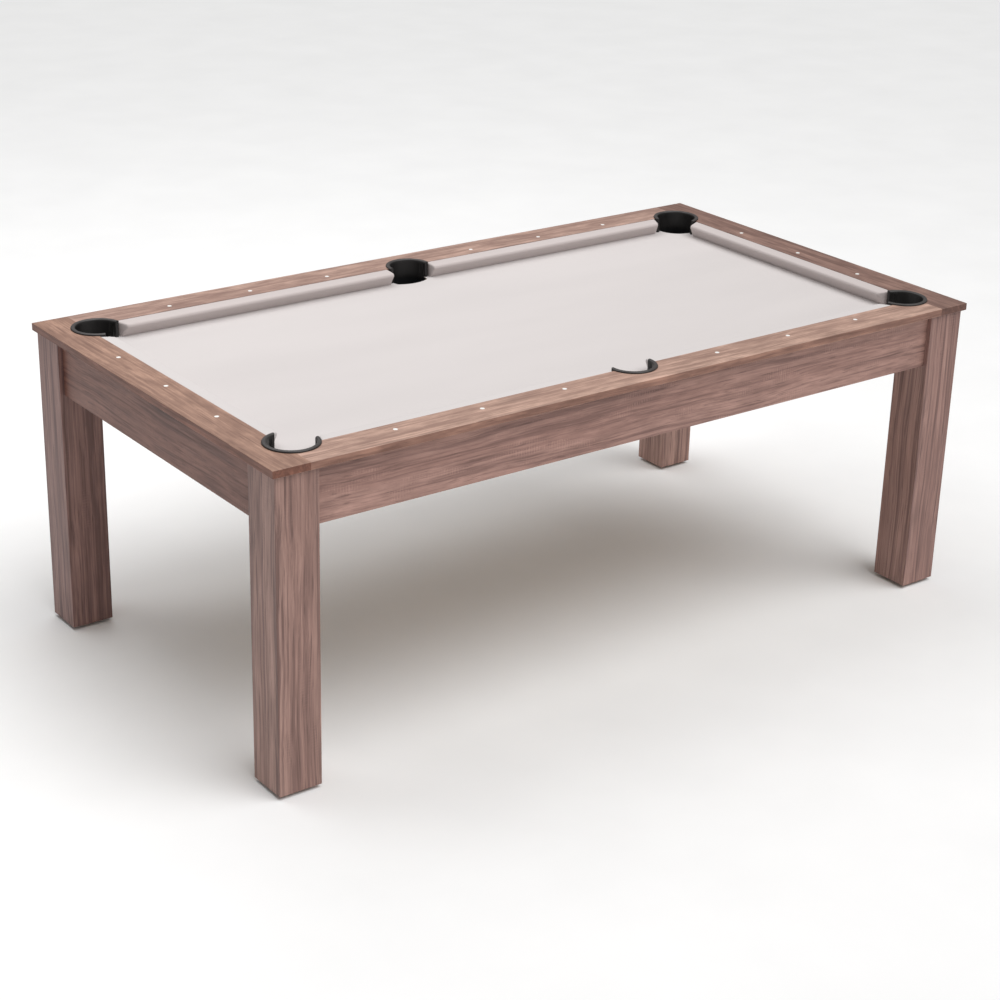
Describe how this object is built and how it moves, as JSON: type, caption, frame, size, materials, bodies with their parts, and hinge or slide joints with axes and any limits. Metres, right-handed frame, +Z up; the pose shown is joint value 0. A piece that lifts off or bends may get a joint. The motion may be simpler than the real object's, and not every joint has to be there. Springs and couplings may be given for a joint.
{
  "type": "pool table",
  "caption": "Rectangular home pool table with a cloth bed, padded cushions, drop pockets with dark liners, a wood-look rail frame and square corner legs.",
  "frame": {"origin": "on the floor under the middle of the table", "axes": "+X along the table's length, +Y towards the back long side, +Z up"},
  "size_m": [2.134, 1.158, 0.814],
  "materials": {
    "rail_laminate": "satin wood-print laminate, greyish tan oak with fine dark grain",
    "body_laminate": "satin wood-print laminate, greyish mauve-brown rustic oak",
    "raw_board": "plain unfinished board",
    "cloth": "short-nap woven wool cloth, light warm grey",
    "cushion_rubber": "matte moulded rubber",
    "liner_plastic": "matte black moulded plastic",
    "cup_plastic": "smooth black moulded plastic",
    "sight_plastic": "smooth off-white plastic",
    "plated_steel": "bright zinc-plated steel",
    "pad_plastic": "matte dark plastic"
  },
  "bodies": {
    "table": {"rail_board_front": "rail_laminate", "rail_board_back": "rail_laminate", "rail_board_left": "rail_laminate", "rail_board_right": "rail_laminate", "rail_sights": "sight_plastic", "cushion_backer_front_left": "raw_board", "cushion_backer_front_right": "raw_board", "cushion_backer_back_left": "raw_board", "cushion_backer_back_right": "raw_board", "cushion_backer_left": "raw_board", "cushion_backer_right": "raw_board", "cushion_rubber_front_left": "cushion_rubber", "cushion_rubber_front_right": "cushion_rubber", "cushion_rubber_back_left": "cushion_rubber", "cushion_rubber_back_right": "cushion_rubber", "cushion_rubber_left": "cushion_rubber", "cushion_rubber_right": "cushion_rubber", "cushion_cloth_front_left": "cloth", "cushion_cloth_front_right": "cloth", "cushion_cloth_back_left": "cloth", "cushion_cloth_back_right": "cloth", "cushion_cloth_left": "cloth", "cushion_cloth_right": "cloth", "bed_slab": "raw_board", "bed_cloth": "cloth", "apron_front": "body_laminate", "apron_back": "body_laminate", "apron_left": "body_laminate", "apron_right": "body_laminate", "leg_front_left": "body_laminate", "leg_front_right": "body_laminate", "leg_back_left": "body_laminate", "leg_back_right": "body_laminate", "leg_end_blocks": "raw_board", "leveller_inserts": "plated_steel", "pocket_liner_front_left": "liner_plastic", "pocket_liner_front_right": "liner_plastic", "pocket_liner_back_left": "liner_plastic", "pocket_liner_back_right": "liner_plastic", "pocket_liner_front_side": "liner_plastic", "pocket_liner_back_side": "liner_plastic", "pocket_cup_front_left": "cup_plastic", "pocket_cup_front_right": "cup_plastic", "pocket_cup_back_left": "cup_plastic", "pocket_cup_back_right": "cup_plastic", "pocket_cup_front_side": "cup_plastic", "pocket_cup_back_side": "cup_plastic", "cross_beams": "raw_board", "bed_cleats": "raw_board", "corner_brackets": "plated_steel", "leg_bolts": "plated_steel", "rail_bolts": "plated_steel"},
    "pad_front_left": {"leveller_pad_front_left": "pad_plastic"},
    "stem_front_left": {"leveller_stem_front_left": "plated_steel"},
    "pad_front_right": {"leveller_pad_front_right": "pad_plastic"},
    "stem_front_right": {"leveller_stem_front_right": "plated_steel"},
    "pad_back_left": {"leveller_pad_back_left": "pad_plastic"},
    "stem_back_left": {"leveller_stem_back_left": "plated_steel"},
    "pad_back_right": {"leveller_pad_back_right": "pad_plastic"},
    "stem_back_right": {"leveller_stem_back_right": "plated_steel"}
  },
  "joints": [
    {"name": "leveller_travel_front_left", "type": "slide", "parent": "table", "child": "pad_front_left", "axis": [0, 0, -1], "range_m": [0, 0.012]},
    {"name": "leveller_turn_front_left", "type": "hinge", "parent": "pad_front_left", "child": "stem_front_left", "pos_m": [-1.002, -0.514, 0], "axis": [0, 0, -1], "range_deg": [0, 2885]},
    {"name": "leveller_travel_front_right", "type": "slide", "parent": "table", "child": "pad_front_right", "axis": [0, 0, -1], "range_m": [0, 0.012]},
    {"name": "leveller_turn_front_right", "type": "hinge", "parent": "pad_front_right", "child": "stem_front_right", "pos_m": [1.002, -0.514, 0], "axis": [0, 0, -1], "range_deg": [0, 2885]},
    {"name": "leveller_travel_back_left", "type": "slide", "parent": "table", "child": "pad_back_left", "axis": [0, 0, -1], "range_m": [0, 0.012]},
    {"name": "leveller_turn_back_left", "type": "hinge", "parent": "pad_back_left", "child": "stem_back_left", "pos_m": [-1.002, 0.514, 0], "axis": [0, 0, -1], "range_deg": [0, 2885]},
    {"name": "leveller_travel_back_right", "type": "slide", "parent": "table", "child": "pad_back_right", "axis": [0, 0, -1], "range_m": [0, 0.012]},
    {"name": "leveller_turn_back_right", "type": "hinge", "parent": "pad_back_right", "child": "stem_back_right", "pos_m": [1.002, 0.514, 0], "axis": [0, 0, -1], "range_deg": [0, 2885]}
  ],
  "couplings": [
    {"joint": "leveller_turn_front_left", "follows": "leveller_travel_front_left", "rad_per_m": 4188.8},
    {"joint": "leveller_turn_front_right", "follows": "leveller_travel_front_right", "rad_per_m": 4188.8},
    {"joint": "leveller_turn_back_left", "follows": "leveller_travel_back_left", "rad_per_m": 4188.8},
    {"joint": "leveller_turn_back_right", "follows": "leveller_travel_back_right", "rad_per_m": 4188.8}
  ]
}
